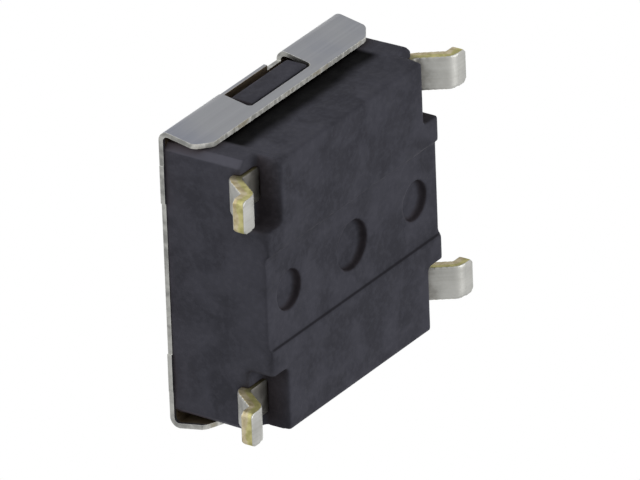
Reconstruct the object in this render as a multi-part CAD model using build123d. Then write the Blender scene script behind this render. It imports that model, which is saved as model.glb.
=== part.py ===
from build123d import *
from math import cos, radians, tan
import os

os.makedirs("parts", exist_ok=True)

# Surface-mount tactile switch, in millimetres. The origin is on the board's surface at the centre
# of the switch: X runs across the leads, Y across the cover's folded flanges, and Z up to the button.

# Terminal sheets and gull-wing leads
sheet_thickness = 0.25
lead_width = 0.70
lead_pitch = 4.50
lead_root_height = 0.72        # middle of the sheet where it leaves the base
knee_reach = 0.09              # X, from the base's side to the corners of the bent lead
heel_reach = 0.53
tip_reach = 0.88
lead_bend_radius = 0.15        # on the middle of the sheet
tip_chamfer = 0.06
contact_emboss = 0.05          # raised contact points
contact_point_diameter = 0.40
center_pad_diameter = 1.00
arm_spacing = 3.50             # between the middles of the outer terminal's two arms
arm_width = 0.60
arm_end_y = -1.10
contact_point_y = 0.85

# Moulded base
base_length = 5.90             # X, at the parting plane
base_width = 5.77              # Y over the end ribs, at the parting plane
corner_chamfer = 0.13
draft_angle = 0.5
standoff = 0.07                # the pads lie this far above the board
edge_round = 0.08
channel_width = 2.00
channel_depth = 0.09
notch_length = 0.52            # X, from the base's side
notch_width = 1.365            # Y, from the base's end
notch_height = 0.58            # above the pads
notch_corner_radius = 0.10
rib_height = 0.02
rib_width = 0.67               # X, from the base's side
well_diameter = 4.60
pit_depth = 0.19
side_pit_x = 2.17
side_pit_diameter = 0.82
center_pit_diameter = 1.02
catch_height = 0.19
catch_ramp_drop = 0.19         # cover top to the start of the catch's ramp
catch_flat_drop = 0.305        # cover top to the start of the catch's flat
catch_clearance = 0.05         # under the catch
catch_end_clearance = 0.11

# Stamped cover
cover_top = 2.49               # above the board
cover_thickness = 0.10
flange_fit = 0.01              # between the flanges' free edges and the ribs
fold_radius = 0.20             # outside of the fold
flange_toe = 10.5              # degrees, leaning in
flange_drop = 1.02             # cover top to the free edge
flange_overhang = 0.02         # X, beyond the base's side, which the cover's side is level with
stub_overhang = 0.03
flange_corner_drop = 0.79      # cover top to the start of the sloping corner
flange_corner_length = 0.36    # X, what a sloping corner takes from the free edge
flange_corner_radius = 0.22
stub_start_y = 1.60
stub_end_y = 2.40
window_width = 2.12
window_reach = 0.145           # Y, from the base's end to the window's edge in the plate
window_drop = 0.82             # cover top to the window's lower edge
window_corner_radius = 0.10
window_relief_length = 0.46    # X, from the window's -X end
window_relief_depth = 0.11     # Y
cover_hole_diameter = 3.60

# Button and dome
stem_clearance = 0.10
stem_rise = 0.61               # button top above the cover
stem_edge_round = 0.12
flange_clearance = 0.10
button_flange_thickness = 0.45
button_end_play = 0.03
nub_diameter = 1.20
nub_clearance = 0.02
dome_diameter = 4.00
dome_rise = 0.25               # also the travel until the contact closes
dome_thickness = 0.06

# Levels and positions that follow
cover_underside = cover_top - cover_thickness
sheet_top = lead_root_height + sheet_thickness / 2
contact_plane = sheet_top + contact_emboss
pad_height = standoff
channel_height = standoff + channel_depth
notch_floor = standoff + notch_height
lead_y = lead_pitch / 2
knee_x = base_length / 2 + knee_reach
heel_x = base_length / 2 + heel_reach
tip_x = base_length / 2 + tip_reach
stub_x = base_length / 2 + stub_overhang
flange_x = base_length / 2 + flange_overhang
dome_apex = contact_plane + dome_rise + dome_thickness
reach = 10.0                   # longer than the switch, for cuts that run right through


def drafted_half(size, height):
    """Half of a size of the base at a height: it narrows both ways from the parting plane."""
    return size / 2 - abs(height - lead_root_height) * tan(radians(draft_angle))


def base_outline(height):
    """Plan of the base at a height, with its corners chamfered."""
    outline = Rectangle(2 * drafted_half(base_length, height), 2 * drafted_half(base_width, height))
    return Pos(0, 0, height) * chamfer(outline.vertices(), corner_chamfer)


def rounded_corner_cut():
    """One of the four corner notches that the leads leave through, open to both outer sides."""
    cut = Rectangle(reach, reach, align=(Align.MIN, Align.MIN))
    inner_corner = cut.vertices().sort_by(lambda v: v.X + v.Y)[0]
    cut = fillet(inner_corner, notch_corner_radius)
    cut = Pos(base_length / 2 - notch_length, base_width / 2 - notch_width) * cut
    return extrude(cut, notch_floor)


def end_recess():
    """Shallow recess between the ribs of the +Y end face, parallel to the drafted face."""
    heights = (0, lead_root_height, cover_underside)
    face_line = [(drafted_half(base_width, z) - rib_height, z) for z in heights]
    section = Plane.YZ * make_face(Polyline(*face_line, (reach, cover_underside), (reach, 0), close=True))
    return extrude(section, base_length / 2 - rib_width, both=True)


def catch():
    """Wedge on the +Y end face that the cover's window clips over."""
    root_y = base_width / 2 - 4 * rib_height
    face_y = base_width / 2 - rib_height + catch_height
    lower_z = cover_top - window_drop + catch_clearance
    section = Plane.YZ * make_face(
        Polyline(
            (root_y, lower_z),
            (face_y, lower_z),
            (face_y, cover_top - catch_flat_drop),
            (root_y, cover_top - catch_ramp_drop),
            close=True,
        )
    )
    return extrude(section, window_width / 2 - catch_end_clearance, both=True)


def pit(x, diameter):
    """Round mould pit in the floor of the channel."""
    return Pos(x, 0, 0) * Cylinder(
        diameter / 2, channel_height + pit_depth, align=(Align.CENTER, Align.CENTER, Align.MIN)
    )


def housing(terminals):
    """Moulded base: drafted block with pads, channel, lead notches, end ribs, catches and well."""
    body = loft([base_outline(pad_height), base_outline(lead_root_height)])
    body += loft([base_outline(lead_root_height), base_outline(cover_underside)])
    body = fillet(body.faces().sort_by(Axis.Z)[0].edges(), edge_round)
    body -= end_recess() + mirror(end_recess(), about=Plane.XZ)
    body -= Box(reach, channel_width, 2 * channel_height)
    for x_side in (1, -1):
        for y_side in (1, -1):
            notch = rounded_corner_cut()
            if x_side < 0:
                notch = mirror(notch, about=Plane.YZ)
            if y_side < 0:
                notch = mirror(notch, about=Plane.XZ)
            body -= notch
    body += catch() + mirror(catch(), about=Plane.XZ)
    body -= pit(0, center_pit_diameter)
    body -= pit(side_pit_x, side_pit_diameter) + pit(-side_pit_x, side_pit_diameter)
    body -= Pos(0, 0, sheet_top) * Cylinder(
        well_diameter / 2, reach, align=(Align.CENTER, Align.CENTER, Align.MIN)
    )
    for terminal in terminals:
        body -= terminal
    return body


def lead_strip(y):
    """Strip with a gull-wing lead at each end, its tips chamfered."""
    foot = sheet_thickness / 2
    path = FilletPolyline(
        (-tip_x, y, foot),
        (-heel_x, y, foot),
        (-knee_x, y, lead_root_height),
        (knee_x, y, lead_root_height),
        (heel_x, y, foot),
        (tip_x, y, foot),
        radius=lead_bend_radius,
    )
    section = Plane(origin=path @ 0, x_dir=(0, 1, 0), z_dir=path % 0)
    strip = sweep(section * Rectangle(lead_width, sheet_thickness), path=path)
    corners = strip.edges().filter_by(Axis.Z).filter_by(lambda e: abs(e.center().X) > heel_x)
    return chamfer(corners, tip_chamfer)


def flat_arm(x, y_from, y_to, width):
    """Flat arm of a terminal sheet along Y."""
    return Pos(x, (y_from + y_to) / 2, lead_root_height) * Box(width, abs(y_to - y_from), sheet_thickness)


def contact_point(x, y, diameter):
    """Raised contact point on top of a terminal sheet."""
    return Pos(x, y, lead_root_height) * Cylinder(
        diameter / 2, contact_plane - lead_root_height, align=(Align.CENTER, Align.CENTER, Align.MIN)
    )


def outer_terminal():
    """Terminal whose two arms carry the rim of the dome."""
    sheet = lead_strip(lead_y)
    for side in (1, -1):
        x = side * arm_spacing / 2
        sheet += flat_arm(x, lead_y, arm_end_y, arm_width)
        sheet += contact_point(x, contact_point_y, contact_point_diameter)
        sheet += contact_point(x, -contact_point_y, contact_point_diameter)
    return sheet


def center_terminal():
    """Terminal with the contact under the middle of the dome."""
    sheet = lead_strip(-lead_y)
    sheet += flat_arm(0, -lead_y, 0, arm_width)
    return sheet + contact_point(0, 0, center_pad_diameter)


def cover_sheet():
    """Folded sheet of the cover, before its outline is trimmed."""
    toe = radians(flange_toe)
    free_z = cover_top - flange_drop
    seat_y = drafted_half(base_width, free_z) + flange_fit
    end_z = free_z - cover_thickness
    end_y = seat_y + cover_thickness / 2 / cos(toe) - cover_thickness * tan(toe)
    plate_z = cover_top - cover_thickness / 2
    fold_y = end_y + (plate_z - end_z) * tan(toe)
    path = FilletPolyline(
        (0, -end_y, end_z), (0, -fold_y, plate_z), (0, fold_y, plate_z), (0, end_y, end_z),
        radius=fold_radius - cover_thickness / 2,
    )
    section = Plane(origin=path @ 0, x_dir=(1, 0, 0), z_dir=path % 0)
    return sweep(section * Rectangle(2 * stub_x, cover_thickness), path=path)


def cover_side_trim():
    """Cut on the +X side that leaves the tie-bar stubs and the flange ends standing."""
    cuts = Pos(base_length / 2, 0) * Rectangle(reach, 2 * stub_start_y, align=(Align.MIN, Align.CENTER))
    for y in (stub_end_y, -stub_end_y - reach):
        cuts += Pos(flange_x, y) * Rectangle(reach, reach, align=(Align.MIN, Align.MIN))
    return extrude(cuts, reach)


def flange_outline():
    """Side view of the flanges: free edge and sloping corners, with their ends rounded."""
    edge = flange_x - flange_corner_length
    corner_z, free_z = cover_top - flange_corner_drop, cover_top - flange_drop
    outline = make_face(
        Polyline(
            (stub_x, cover_top),
            (stub_x, corner_z),
            (edge, free_z),
            (-edge, free_z),
            (-stub_x, corner_z),
            (-stub_x, cover_top),
            close=True,
        )
    )
    corners = outline.vertices().filter_by(lambda v: v.Y < cover_top)
    return extrude(Plane.XZ * fillet(corners, flange_corner_radius), reach, both=True)


def window():
    """Window through the +Y flange and on through the fold into the edge of the plate."""
    lower_z = cover_top - window_drop
    outline = Pos(0, lower_z) * Rectangle(
        window_width, cover_underside - lower_z, align=(Align.CENTER, Align.MIN)
    )
    lower_corners = outline.vertices().sort_by(Axis.Y)[:2]
    through_flange = extrude(Plane.XZ * fillet(lower_corners, window_corner_radius), -reach)
    through_fold = Pos(0, base_width / 2 + window_reach, cover_underside) * Box(
        window_width, reach, reach, align=(Align.CENTER, Align.MIN, Align.MIN)
    )
    relief = Pos(-window_width / 2, base_width / 2 + window_reach, cover_underside) * Box(
        window_relief_length,
        2 * window_relief_depth,
        reach,
        align=(Align.MIN, Align.CENTER, Align.MIN),
    )
    return through_flange + through_fold + relief


def cover():
    """Stamped cover: plate with the button's hole, tie-bar stubs, toed-in flanges and windows."""
    sheet = cover_sheet() & flange_outline()
    sheet -= cover_side_trim() + mirror(cover_side_trim(), about=Plane.YZ)
    sheet -= window() + mirror(window(), about=Plane.XZ)
    return sheet - Pos(0, 0, cover_top) * Cylinder(cover_hole_diameter / 2, reach)


def plunger():
    """Moulded button, turned about Z: stem, flange under the cover and nub on the dome."""
    stem = cover_hole_diameter / 2 - stem_clearance
    flange = well_diameter / 2 - flange_clearance
    flange_top = cover_underside - button_end_play
    flange_bottom = flange_top - button_flange_thickness
    button_top = cover_top + stem_rise
    nub_bottom = dome_apex + nub_clearance
    half_section = make_face(
        Polyline(
            (0, nub_bottom),
            (nub_diameter / 2, nub_bottom),
            (nub_diameter / 2, flange_bottom),
            (flange, flange_bottom),
            (flange, flange_top),
            (stem, flange_top),
            (stem, button_top),
            (0, button_top),
            close=True,
        )
    )
    rim = half_section.vertices().filter_by(lambda v: v.X > 0).sort_by(Axis.Y)[-1]
    return revolve(Plane.XZ * fillet(rim, stem_edge_round), axis=Axis.Z)


def snap_dome():
    """Spherical spring sheet on the outer terminal's contact points."""
    rim_radius = dome_diameter / 2
    inner_radius = (rim_radius**2 + dome_rise**2) / (2 * dome_rise)
    centre_z = contact_plane + dome_rise - inner_radius
    shell = Sphere(inner_radius + dome_thickness) - Sphere(inner_radius)
    blank = Cylinder(rim_radius, reach, align=(Align.CENTER, Align.CENTER, Align.MIN))
    return (Pos(0, 0, centre_z) * shell) & (Pos(0, 0, contact_plane) * blank)


terminals = {"outer_terminal": outer_terminal(), "center_terminal": center_terminal()}
nodes = {
    "housing": housing(terminals.values()),
    "cover": cover(),
    "plunger": plunger(),
    "snap_dome": snap_dome(),
    **terminals,
}
for name, shape in nodes.items():
    export_step(shape, f"parts/{name}.step")
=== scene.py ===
"""Looks of the tactile switch: moulded plastic, satin cover steel and plated leads, in metres."""

from math import pi, radians, sqrt

import bpy
import bmesh
from mathutils import Matrix, Vector


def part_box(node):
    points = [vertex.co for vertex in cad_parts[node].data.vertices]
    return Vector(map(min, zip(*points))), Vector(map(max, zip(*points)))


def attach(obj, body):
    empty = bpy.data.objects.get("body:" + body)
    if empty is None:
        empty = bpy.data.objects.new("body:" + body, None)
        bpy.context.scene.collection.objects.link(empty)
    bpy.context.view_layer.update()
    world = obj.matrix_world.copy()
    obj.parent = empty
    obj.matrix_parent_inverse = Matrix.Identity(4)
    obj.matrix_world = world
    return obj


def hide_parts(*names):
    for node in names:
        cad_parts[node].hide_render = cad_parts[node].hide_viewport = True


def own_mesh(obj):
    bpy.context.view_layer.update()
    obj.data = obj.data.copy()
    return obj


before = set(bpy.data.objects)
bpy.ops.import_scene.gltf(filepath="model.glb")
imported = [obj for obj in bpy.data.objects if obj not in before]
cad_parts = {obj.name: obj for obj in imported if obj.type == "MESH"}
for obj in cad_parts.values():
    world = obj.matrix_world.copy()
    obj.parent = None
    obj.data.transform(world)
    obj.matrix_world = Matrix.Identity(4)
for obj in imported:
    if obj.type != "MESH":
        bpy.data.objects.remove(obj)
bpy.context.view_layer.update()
MM = 0.001

# Camera: a long lens that looks up at the soldering side, rolled so that the button points left.
VIEW_FROM = Vector((0.73688, 0.44653, -0.50756)).normalized()
VIEW_UP = Vector((-0.38894, 0.89413, 0.22196))
VIEW_AIM = Vector((-0.5745, -0.4220, 1.306)) * MM
VIEW_DISTANCE = 0.34001
LENS = 1000.0
CLIP_START, CLIP_END = 0.01, 10.0

# Lamps: where the light comes from, distance, size, and what a white face square to it shows.
LAMPS = {
    "key": ((0.50, 0.52, 0.72), 0.12, 0.16, 1.18),
    "under": ((-0.25, 0.10, -1.0), 0.12, 0.08, 0.64),
    "back": ((-0.7, -0.6, 0.35), 0.12, 0.10, 0.35),
    "fill": ((0.85, 0.35, -0.40), 0.12, 0.12, 0.10),
}
WORLD_LIGHT = 0.30
FLOOR_SIZE = 0.4
FLOOR_COLOUR = (0.9, 0.9, 0.9, 1.0)
FLOOR_ROUGHNESS = 0.9

# Colours that a surface wanders between, dark and light, and tones that are laid over them.
BLACK_MOULDING = (0.040, 0.040, 0.049), (0.056, 0.056, 0.069)
BLACK_BUTTON = (0.034, 0.034, 0.037), (0.048, 0.048, 0.053)
COVER_STEEL = (0.195, 0.205, 0.24), (0.245, 0.25, 0.265)
DOME_STEEL = (0.50, 0.50, 0.49), (0.60, 0.59, 0.56)
CUT_FLANK = (0.20, 0.20, 0.19), (0.36, 0.36, 0.34)
CUT_EDGE = (0.34, 0.34, 0.32), (0.56, 0.555, 0.53)
EDGE_STAIN = (0.36, 0.31, 0.20)
COVER_INSIDE = (0.42, 0.34, 0.23)
EDGE_HIGHLIGHT_STEEL = (0.85, 0.85, 0.82)
SILVER = (0.305, 0.303, 0.282), (0.38, 0.378, 0.357)
SILVER_LINES = (0.445, 0.445, 0.43)
SHEARED_BRASS = (0.30, 0.28, 0.12), (0.42, 0.39, 0.19)
BROKEN_BRASS = (0.31, 0.26, 0.15), (0.45, 0.40, 0.28)
ROOT_SHADE = (0.085, 0.075, 0.060)

# What the painted shade in the deepest corners does to each channel of a colour, next to an even
# darkening.
WARM_SHADE = (1.20, 1.06, 0.98)

# Zones of painted light and shade: distance from the middle (X, Y) or the floor (Z) where each
# begins and is full.
LIT_CORNER_X, LIT_CORNER_Y = (2.74, 2.80), (2.60, 2.68)
CHANNEL_NEAR_Y, CHANNEL_FAR_Y = (0.80, 0.90), (1.20, 1.10)
CHANNEL_X, CHANNEL_Z = (2.94, 2.90), (0.35, 0.25)
FLANGE_SHADE_X, FLANGE_SHADE_Y = (2.36, 2.22), (2.60, 2.70)
FLANGE_SHADE_FOOT_Z, FLANGE_SHADE_TOP_Z = (0.82, 1.14), (1.62, 1.52)
ROOT_SHADE_X = (3.16, 2.99)

# The cover's plate lies above one height and its flanges below the other, and its openings and
# its inside lie within a distance from the middle.
PLATE_BOTTOM, FLANGE_TOP = 2.30 * MM, 2.25 * MM
OPENINGS_WITHIN_Y, INSIDE_WITHIN_X = 2.95 * MM, 2.90 * MM
# The share of a face's normal along an axis that makes it a lower edge, an opening's rim (at
# most), a side, or the inside.
LOWER_FACE, RIM_FACE, SIDE_FACE, INNER_FACE = 0.4, 0.3, 0.5, 0.6

# A lead slopes down between these distances along X, with the middle of its sheet at these heights.
LEAD_KNEE, LEAD_HEEL = 3.04 * MM, 3.48 * MM
LEAD_ROOT_HEIGHT, LEAD_FOOT_HEIGHT = 0.72 * MM, 0.125 * MM
# Where the clean shear ends and the broken metal begins, from the middle of the sheet.
SHEAR_BREAK = (-0.02, 0.03)

# Fine rounding of the CAD pieces: lengths in millimetres and angles in degrees.
WELD_REACH = 0.002
HOUSING_VOXEL, TERMINAL_VOXEL = 0.043, 0.025
SMOOTH_FACTOR, SMOOTH_ROUNDS = 0.5, 2
COVER_BEVEL, BEVEL_ANGLE, BEVEL_STEPS = 0.012, 35, 3
FLAT_ANGLE = 0.5

# Rails that fill the slit between the moulding's top and the cover's plate.
COVER_THICKNESS = 0.10 * MM
RAIL_INSET, RAIL_WIDTH, RAIL_END = 0.013 * MM, 0.30 * MM, 0.190 * MM
RAIL_ROOT, RAIL_ROUND, RAIL_CORNER = 0.14 * MM, 0.008 * MM, 0.125 * MM
RAIL_STEPS = 2

# Spring disc: sheet, rings and steps of its mesh, how close its points are joined, and how level a
# face is that is smooth.
DOME_SHEET = 0.06 * MM
DOME_RINGS, DOME_STEPS = 20, 96
DOME_JOIN = 0.001 * MM
DOME_SMOOTH = 0.5

# The Mix node's colour sockets, which share their names with its other kinds of socket.
MIX_FIRST, MIX_SECOND, MIX_RESULT = 6, 7, 2


class Shader:
    """A material under construction, with short calls for its nodes."""

    def __init__(self, name, metallic, specular=0.5):
        self.material = bpy.data.materials.new(name)
        self.material.use_nodes = True
        self.tree = self.material.node_tree
        self.surface = self.tree.nodes["Principled BSDF"]
        self.surface.inputs["Metallic"].default_value = metallic
        self.surface.inputs["Specular IOR Level"].default_value = specular

    def node(self, kind, **settings):
        """New node, with each setting fed to the input of its name or else set on the node."""
        node = self.tree.nodes.new("ShaderNode" + kind)
        for key, value in settings.items():
            if key in node.inputs:
                self.feed(node.inputs[key], value)
            else:
                setattr(node, key, value)
        return node

    def feed(self, socket, value):
        """Gives an input a value or a link."""
        if isinstance(value, bpy.types.NodeSocket):
            self.tree.links.new(value, socket)
        else:
            socket.default_value = value

    def finish(self, colour, roughness):
        """Links the surface's colour and roughness and returns the material."""
        self.feed(self.surface.inputs["Base Color"], colour)
        self.feed(self.surface.inputs["Roughness"], roughness)
        return self.material

    def math(self, operation, first, second=0.0):
        node = self.node("Math", operation=operation)
        self.feed(node.inputs[0], first)
        self.feed(node.inputs[1], second)
        return node.outputs["Value"]

    def product(self, first, *factors):
        for factor in factors:
            first = self.math("MULTIPLY", first, factor)
        return first

    def above(self, value, limit):
        return self.math("GREATER_THAN", value, limit)

    def under(self, value, limit):
        return self.math("LESS_THAN", value, limit)

    def vector(self, operation, first, second=None):
        """Vector Math node on one or two vectors."""
        node = self.node("VectorMath", operation=operation)
        self.feed(node.inputs[0], first)
        if second:
            self.feed(node.inputs[1], second)
        return node

    def normal(self):
        return self.node("NewGeometry").outputs["Normal"]

    def place(self):
        """The object's own coordinates, which are the CAD's, in metres."""
        return self.node("TexCoord").outputs["Object"]

    def axes(self, vector):
        parts = self.node("SeparateXYZ", Vector=vector)
        return [parts.outputs[axis] for axis in "XYZ"]

    def distances(self, vector):
        """A vector's X, Y and Z without their signs."""
        return [self.math("ABSOLUTE", part) for part in self.axes(vector)]

    def noise(self, scale, detail=4.0, stretch=(1, 1, 1), distortion=0.0):
        """Noise over the object's own coordinates; scale is in features per millimetre."""
        mapping = self.node(
            "Mapping", Vector=self.place(), Scale=[part * scale / MM for part in stretch]
        )
        texture = self.node(
            "TexNoise",
            Vector=mapping.outputs["Vector"],
            Scale=1.0,
            Detail=detail,
            Distortion=distortion,
        )
        return texture.outputs["Fac"]

    def spread(self, value, low, high, to_low=0.0, to_high=1.0, kind="SMOOTHSTEP"):
        """Value taken from one range to another, in a smooth step unless the kind is LINEAR."""
        node = self.node("MapRange", interpolation_type=kind, Value=value)
        ends = {"From Min": low, "From Max": high, "To Min": to_low, "To Max": to_high}
        for name, number in ends.items():
            node.inputs[name].default_value = number
        return node.outputs["Result"]

    def zone(self, value, span):
        """Mask from 0 to 1 over a span in millimetres, which may run down."""
        return self.spread(value, span[0] * MM, span[1] * MM)

    def wander(self, value, scale, detail, reach):
        """Value moved to and fro by noise, by up to a reach in millimetres."""
        shift = self.spread(self.noise(scale, detail), 0.2, 0.8, -reach * MM, reach * MM)
        return self.math("ADD", value, shift)

    def mix(self, factor, first, second, blend="MIX"):
        """Colour between two colours, each a tuple or a socket."""
        node = self.node("Mix", data_type="RGBA", blend_type=blend)
        self.feed(node.inputs["Factor"], factor)
        for index, colour in ((MIX_FIRST, first), (MIX_SECOND, second)):
            self.feed(node.inputs[index], (*colour, 1.0) if isinstance(colour, tuple) else colour)
        return node.outputs[MIX_RESULT]

    def grain(self, *layers):
        """Bump from layers of (height, distance in millimetres), the first one lowest."""
        normal = None
        for height, distance in layers:
            node = self.node("Bump", Height=height, Distance=distance * MM, Strength=1.0)
            if normal:
                self.feed(node.inputs["Normal"], normal)
            normal = node.outputs["Normal"]
        self.feed(self.surface.inputs["Normal"], normal)

    def edge_mask(self, radius, low, high):
        """Where the surface turns a convex or concave edge within a radius in millimetres."""
        rounded = self.node("Bevel", samples=6, Radius=radius * MM).outputs["Normal"]
        same = self.vector("DOT_PRODUCT", rounded, self.normal()).outputs["Value"]
        return self.spread(self.math("SUBTRACT", 1.0, same), low, high)

    def shade(self, colour, distance, low, high, darkest, lift=0.0):
        """Painted shade: colour taken down in corners and slots within a distance in millimetres.

        With a lift, upright faces look for cover upwards too, and get dark under an edge.
        """
        node = self.node("AmbientOcclusion", samples=16, Distance=distance * MM)
        if lift:
            normal = self.normal()
            level = self.distances(normal)[2]
            rise = self.product(self.math("SUBTRACT", 1.0, level), lift)
            up = self.node("CombineXYZ", Z=rise).outputs["Vector"]
            tilted = self.vector("ADD", normal, up).outputs["Vector"]
            unit = self.vector("NORMALIZE", tilted).outputs["Vector"]
            self.feed(node.inputs["Normal"], unit)
        open_share = self.spread(node.outputs["AO"], low, high)
        tint = self.mix(open_share, scaled(WARM_SHADE, darkest), (1.0, 1.0, 1.0))
        return self.mix(1.0, colour, tint, "MULTIPLY")


def scaled(colour, factor):
    return tuple(factor * channel for channel in colour)


def moulded_plastic(name, dark, light):
    """Black moulding: blotchy colour, fine spark-eroded grain, faintly polished edges, and painted
    light and shade.
    """
    shader = Shader(name, metallic=0.0, specular=0.015)
    blotches = shader.spread(shader.noise(1.1, detail=6.0, distortion=0.6), 0.36, 0.66)
    specks = shader.spread(shader.noise(9.0, detail=3.0), 0.40, 0.70)
    worn = shader.product(shader.edge_mask(radius=0.05, low=0.02, high=0.30), shader.noise(5.0))
    across, along, level = shader.distances(shader.normal())
    slanting = shader.spread(shader.product(across, along), 0.15, 0.42)
    corner = shader.product(slanting, painted_corner_light(shader))

    colour = shader.mix(blotches, dark, light)
    colour = shader.mix(shader.product(specks, 0.22), colour, scaled(light, 1.5))
    colour = shader.mix(shader.product(worn, 0.22), colour, scaled(light, 1.6))
    # Painted shadow, nearly black, on the moulding just below the flange's free edge.
    colour = shader.mix(painted_flange_shadow(shader), colour, scaled(dark, 0.04))
    # Painted light: the chamfered corner facets are made paler.
    colour = shader.mix(shader.product(corner, 0.5), colour, scaled(light, 1.9))
    # Painted shade on the channel's low walls.
    colour = shader.mix(painted_channel_shade(shader, level), colour, scaled(dark, 0.45))
    # Painted shade in corners and slots, and under edges on upright faces.
    shaded = shader.shade(colour, distance=0.6, low=0.30, high=0.95, darkest=0.80, lift=1.0)
    colour = shader.mix(shader.spread(level, 0.80, 0.97), shaded, colour)

    shader.grain((shader.noise(2.2, detail=3.0), 0.012), (shader.noise(26.0), 0.0035))
    roughness = shader.spread(shader.noise(3.0, detail=5.0), 0.3, 0.7, 0.46, 0.64)
    return shader.finish(colour, roughness)


def painted_corner_light(shader):
    """Painted light: the moulding's four chamfered corner facets, made paler as if lit."""
    x, y, _ = shader.distances(shader.place())
    return shader.product(shader.zone(x, LIT_CORNER_X), shader.zone(y, LIT_CORNER_Y))


def painted_channel_shade(shader, level):
    """Painted shade on the low walls of the channel along the underside, which lie in their own
    shade.
    """
    x, y, z = shader.distances(shader.place())
    beside = shader.product(shader.zone(y, CHANNEL_NEAR_Y), shader.zone(y, CHANNEL_FAR_Y))
    low = shader.product(shader.zone(z, CHANNEL_Z), shader.zone(x, CHANNEL_X))
    return shader.product(beside, low, shader.spread(level, 0.85, 0.55))


def painted_flange_shadow(shader):
    """Painted shadow: the deep shade that a cover's flange keeps on the moulding just below its
    free edge.
    """
    x, y, z = shader.distances(shader.place())
    z = shader.wander(z, scale=1.3, detail=3.0, reach=0.05)
    band = shader.product(shader.zone(z, FLANGE_SHADE_FOOT_Z), shader.zone(z, FLANGE_SHADE_TOP_Z))
    inside = shader.product(shader.zone(x, FLANGE_SHADE_X), shader.zone(y, FLANGE_SHADE_Y))
    return shader.product(band, inside)


def satin_steel(name, cool, warm, cut_edges):
    """Rolled stainless sheet; its cut faces are streaky, and the lower ones pale and stained; its
    edges get a painted highlight.
    """
    shader = Shader(name, metallic=1.0)
    clouds = shader.spread(shader.noise(0.45, detail=3.0), 0.38, 0.62)
    lines = shader.noise(1.6, detail=5.0, stretch=(0.12, 9.0, 9.0))
    lines = shader.spread(lines, 0.25, 0.75)
    colour = shader.mix(clouds, cool, warm)
    colour = shader.mix(shader.product(lines, 0.30), colour, scaled(warm, 1.25))
    roughness = shader.spread(shader.noise(1.2, detail=3.0), 0.3, 0.7, 0.35, 0.41)
    if cut_edges:
        cut, lower, inside = cover_zones(shader)
        streaks = shader.noise(11.0, detail=3.0, stretch=(1.0, 0.35, 0.35))
        streaks = shader.spread(streaks, 0.35, 0.65)
        stain = shader.spread(shader.noise(2.1), 0.50, 0.64)
        edge = shader.mix(streaks, *CUT_EDGE)
        edge = shader.mix(shader.product(stain, 0.45), edge, EDGE_STAIN)
        # Painted highlight along the cover's edges, in patches.
        edge_highlight = shader.edge_mask(radius=0.025, low=0.03, high=0.30)
        edge_highlight = shader.product(edge_highlight, shader.noise(7.0, detail=2.0))

        # Painted shade in the cover's corners and slots.
        shaded = shader.shade(colour, distance=0.3, low=0.05, high=0.60, darkest=0.60)
        colour = shader.mix(inside, shaded, COVER_INSIDE)
        colour = shader.mix(cut, colour, shader.mix(streaks, *CUT_FLANK))
        colour = shader.mix(lower, colour, edge)
        colour = shader.mix(edge_highlight, colour, EDGE_HIGHLIGHT_STEEL)
        roughness = shader.math("ADD", roughness, shader.product(lower, 0.35))
    shader.grain((shader.noise(0.8, detail=2.0), 0.0010), (lines, 0.0012))
    return shader.finish(colour, roughness)


def cover_zones(shader):
    """The cover's cut faces at the sides and in the openings, its lower edges, and its inside."""
    normals = shader.axes(shader.normal())
    across, _, upright = [shader.math("ABSOLUTE", part) for part in normals]
    x, y, z = shader.axes(shader.place())
    out, wide = shader.math("ABSOLUTE", x), shader.math("ABSOLUTE", y)
    plate = shader.above(z, PLATE_BOTTOM)
    lower = shader.product(shader.above(upright, LOWER_FACE), shader.under(z, FLANGE_TOP))
    within = shader.under(wide, OPENINGS_WITHIN_Y)
    rim = shader.product(shader.under(upright, RIM_FACE), within, plate)
    cut = shader.math("MAXIMUM", shader.above(across, SIDE_FACE), rim)
    facing = shader.product(normals[1], shader.math("SIGN", y))
    underside = shader.product(shader.under(normals[2], -INNER_FACE), plate)
    inside = shader.math("MAXIMUM", shader.under(facing, -INNER_FACE), underside)
    inside = shader.product(inside, shader.under(out, INSIDE_WITHIN_X))
    return cut, lower, inside


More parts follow.
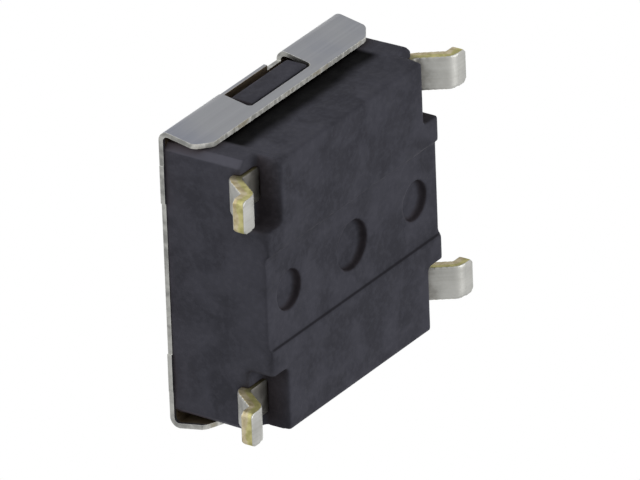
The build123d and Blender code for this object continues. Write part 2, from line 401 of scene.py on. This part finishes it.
def plated_terminal(name):
    """Silver plating on the rolled faces and bare brass, in two zones, on the sheared ones."""
    shader = Shader(name, metallic=1.0)
    silver = shader.mix(shader.spread(shader.noise(2.4), 0.35, 0.68), *SILVER)
    lines = shader.spread(shader.noise(3.0, stretch=(0.2, 6.0, 0.2)), 0.3, 0.7)
    silver = shader.mix(shader.product(lines, 0.3), silver, SILVER_LINES)

    x, _, z = shader.axes(shader.place())
    out = shader.math("ABSOLUTE", x)
    middle = shader.spread(
        out, LEAD_KNEE, LEAD_HEEL, LEAD_ROOT_HEIGHT, LEAD_FOOT_HEIGHT, kind="LINEAR"
    )
    height = shader.math("SUBTRACT", z, middle)
    broken = shader.zone(shader.wander(height, scale=3.5, detail=3.0, reach=0.05), SHEAR_BREAK)
    mottle = shader.spread(shader.noise(7.0), 0.35, 0.65)
    brass = shader.mix(
        broken, shader.mix(mottle, *SHEARED_BRASS), shader.mix(mottle, *BROKEN_BRASS)
    )
    bare = shader.spread(shader.distances(shader.normal())[2], 0.42, 0.28)
    # Painted shade and painted reflection of the dark moulding on the leads next to it.
    root = shader.zone(shader.wander(out, scale=4.0, detail=4.0, reach=0.06), ROOT_SHADE_X)

    colour = shader.mix(bare, silver, brass)
    colour = shader.mix(shader.product(root, 0.62), colour, ROOT_SHADE)
    # Painted shade where the leads lie close to other surfaces.
    colour = shader.shade(colour, distance=0.3, low=0.10, high=0.60, darkest=0.60)
    shader.grain((shader.noise(4.0, detail=3.0), 0.004), (shader.noise(20.0, detail=3.0), 0.0015))
    roughness = shader.spread(shader.noise(5.0), 0.3, 0.7, 0.42, 0.54)
    roughness = shader.math("ADD", roughness, shader.product(bare, 0.18))
    return shader.finish(colour, roughness)


def dress(node, material):
    """Gives a CAD node its material."""
    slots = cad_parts[node].data.materials
    slots.clear()
    slots.append(material)


def welded(node):
    """A CAD node with the borders of its faces joined, ready for rounding."""
    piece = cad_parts[node]
    weld = piece.modifiers.new("weld", "WELD")
    weld.merge_threshold = WELD_REACH * MM
    return piece


def soften_moulding(node, voxel):
    """Rounds every edge of a piece a little, as a mould and handling do."""
    piece = welded(node)
    remesh = piece.modifiers.new("remesh", "REMESH")
    remesh.mode = "VOXEL"
    remesh.voxel_size = voxel * MM
    remesh.adaptivity = 0.0
    remesh.use_smooth_shade = True
    smooth = piece.modifiers.new("smooth", "SMOOTH")
    smooth.factor = SMOOTH_FACTOR
    smooth.iterations = SMOOTH_ROUNDS


def bevel_edges(node, width):
    """Rounds the sharp edges of a sheet, once its flat triangles are dissolved."""
    piece = welded(node)
    flat = piece.modifiers.new("flat", "DECIMATE")
    flat.decimate_type = "DISSOLVE"
    flat.angle_limit = radians(FLAT_ANGLE)
    bevel = piece.modifiers.new("bevel", "BEVEL")
    bevel.limit_method = "ANGLE"
    bevel.angle_limit = radians(BEVEL_ANGLE)
    bevel.width = width * MM
    bevel.segments = BEVEL_STEPS
    bevel.use_clamp_overlap = True
    bevel.harden_normals = True


def new_piece(name, shape, material):
    """Object in the scene from a finished bmesh, which is freed."""
    mesh = bpy.data.meshes.new(name)
    shape.to_mesh(mesh)
    shape.free()
    mesh.materials.append(material)
    piece = bpy.data.objects.new(name, mesh)
    bpy.context.scene.collection.objects.link(piece)
    return piece


def add_seat_rails(material):
    """Two low rails on the moulding's top, flush with its sides, that meet the cover's plate."""
    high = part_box("housing")[1]
    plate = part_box("cover")[1][2] - COVER_THICKNESS + RAIL_ROUND
    side = high[0] - RAIL_INSET
    end = high[1] - RAIL_END
    shape = bmesh.new()
    outline = [(0, end), (RAIL_WIDTH - RAIL_CORNER, end), (RAIL_WIDTH, end - RAIL_CORNER)]
    outline += [(x, -y) for x, y in reversed(outline)]
    for hand in (-1, 1):
        corners = [
            shape.verts.new((hand * (side - RAIL_WIDTH + x), y, high[2] - RAIL_ROOT))
            for x, y in outline
        ]
        foot = shape.faces.new(corners)
        lifted = bmesh.ops.extrude_face_region(shape, geom=[foot])["geom"]
        for vert in (part for part in lifted if isinstance(part, bmesh.types.BMVert)):
            vert.co.z = plate
    bmesh.ops.recalc_face_normals(shape, faces=shape.faces)
    rails = new_piece("seat_rails", shape, material)
    bevel = rails.modifiers.new("bevel", "BEVEL")
    bevel.width = RAIL_ROUND
    bevel.segments = RAIL_STEPS
    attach(rails, "base")


def add_contact_dome(material):
    """The domed spring disc as a sheet, in place of the solid."""
    low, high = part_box("snap_dome")
    rise = high[2] - low[2] - DOME_SHEET
    sphere = (high[0] ** 2 + rise**2) / (2 * rise)
    radii = [high[0] * ring / DOME_RINGS for ring in range(DOME_RINGS + 1)]
    upper = [(radius, high[2] - sphere + sqrt(sphere**2 - radius**2)) for radius in radii]
    lower = [(radius, z - DOME_SHEET) for radius, z in reversed(upper)]
    shape = bmesh.new()
    profile = [shape.verts.new((radius, 0.0, z)) for radius, z in upper + lower]
    edges = [shape.edges.new(pair) for pair in zip(profile, profile[1:])]
    bmesh.ops.spin(
        shape,
        geom=profile + edges,
        cent=(0, 0, 0),
        axis=(0, 0, 1),
        angle=2 * pi,
        steps=DOME_STEPS,
    )
    bmesh.ops.remove_doubles(shape, verts=shape.verts, dist=DOME_JOIN)
    bmesh.ops.recalc_face_normals(shape, faces=shape.faces)
    for face in shape.faces:
        face.smooth = abs(face.normal.z) > DOME_SMOOTH
    dome = new_piece("contact_dome", shape, material)
    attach(dome, "base")
    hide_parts("snap_dome")
    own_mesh(dome)


def pale_floor():
    """Plain floor at the feet's level, seen from above only, that lets light from below through."""
    bpy.ops.mesh.primitive_plane_add(size=FLOOR_SIZE)
    floor = bpy.context.object
    floor.name = "floor"
    shader = Shader("floor_white", metallic=0.0)
    shader.surface.inputs["Base Color"].default_value = FLOOR_COLOUR
    shader.surface.inputs["Roughness"].default_value = FLOOR_ROUGHNESS
    behind = shader.node("NewGeometry").outputs["Backfacing"]
    clear = shader.node("BsdfTransparent").outputs["BSDF"]
    mix = shader.node("MixShader", Fac=behind)
    shader.feed(mix.inputs[1], shader.surface.outputs["BSDF"])
    shader.feed(mix.inputs[2], clear)
    shader.feed(shader.tree.nodes["Material Output"].inputs["Surface"], mix.outputs["Shader"])
    floor.data.materials.append(shader.material)
    floor.visible_diffuse = False
    floor.visible_glossy = False
    floor.visible_shadow = False


def studio_world():
    """White background for the camera and for reflections, and soft even light for the rest."""
    world = bpy.data.worlds.new("studio")
    bpy.context.scene.world = world
    world.use_nodes = True
    tree = world.node_tree
    background = tree.nodes["Background"]
    background.inputs["Color"].default_value = (1, 1, 1, 1)
    paths = tree.nodes.new("ShaderNodeLightPath")
    seen = paths.outputs["Is Camera Ray"]
    for ray in ("Is Transmission Ray", "Is Glossy Ray"):
        either = tree.nodes.new("ShaderNodeMath")
        either.operation = "MAXIMUM"
        tree.links.new(seen, either.inputs[0])
        tree.links.new(paths.outputs[ray], either.inputs[1])
        seen = either.outputs["Value"]
    strength = tree.nodes.new("ShaderNodeMapRange")
    strength.inputs["To Min"].default_value = WORLD_LIGHT
    strength.inputs["To Max"].default_value = 1.0
    tree.links.new(seen, strength.inputs["Value"])
    tree.links.new(strength.outputs["Result"], background.inputs["Strength"])


def add_lamp(name, direction, distance, size, level):
    """Square lamp aimed at the middle, with the power that lights a white face to a level."""
    data = bpy.data.lights.new(name, "AREA")
    data.size = size
    data.energy = level * (pi * distance) ** 2
    lamp = bpy.data.objects.new(name, data)
    bpy.context.scene.collection.objects.link(lamp)
    away = Vector(direction).normalized()
    lamp.location = away * distance
    lamp.rotation_euler = away.to_track_quat("Z", "Y").to_euler()


def add_camera():
    """Camera at the photograph's viewing angle."""
    data = bpy.data.cameras.new("camera")
    data.lens = LENS
    data.clip_start = CLIP_START
    data.clip_end = CLIP_END
    camera = bpy.data.objects.new("camera", data)
    bpy.context.scene.collection.objects.link(camera)
    right = VIEW_UP.cross(VIEW_FROM).normalized()
    up = VIEW_FROM.cross(right)
    turn = Matrix((right, up, VIEW_FROM)).transposed().to_4x4()
    camera.matrix_world = Matrix.Translation(VIEW_AIM + VIEW_FROM * VIEW_DISTANCE) @ turn
    bpy.context.scene.camera = camera


plastic = moulded_plastic("base_plastic", *BLACK_MOULDING)
bright_steel = satin_steel("dome_steel", *DOME_STEEL, cut_edges=False)
terminal = plated_terminal("terminal_plate")
dress("housing", plastic)
dress("plunger", moulded_plastic("button_plastic", *BLACK_BUTTON))
dress("cover", satin_steel("cover_steel", *COVER_STEEL, cut_edges=True))
dress("snap_dome", bright_steel)
dress("outer_terminal", terminal)
dress("center_terminal", terminal)

add_contact_dome(bright_steel)
add_seat_rails(plastic)
soften_moulding("housing", HOUSING_VOXEL)
soften_moulding("outer_terminal", TERMINAL_VOXEL)
soften_moulding("center_terminal", TERMINAL_VOXEL)
bevel_edges("cover", COVER_BEVEL)

pale_floor()
studio_world()
for lamp_name, lamp in LAMPS.items():
    add_lamp(lamp_name, *lamp)
add_camera()
bpy.context.scene.view_settings.view_transform = "Standard"
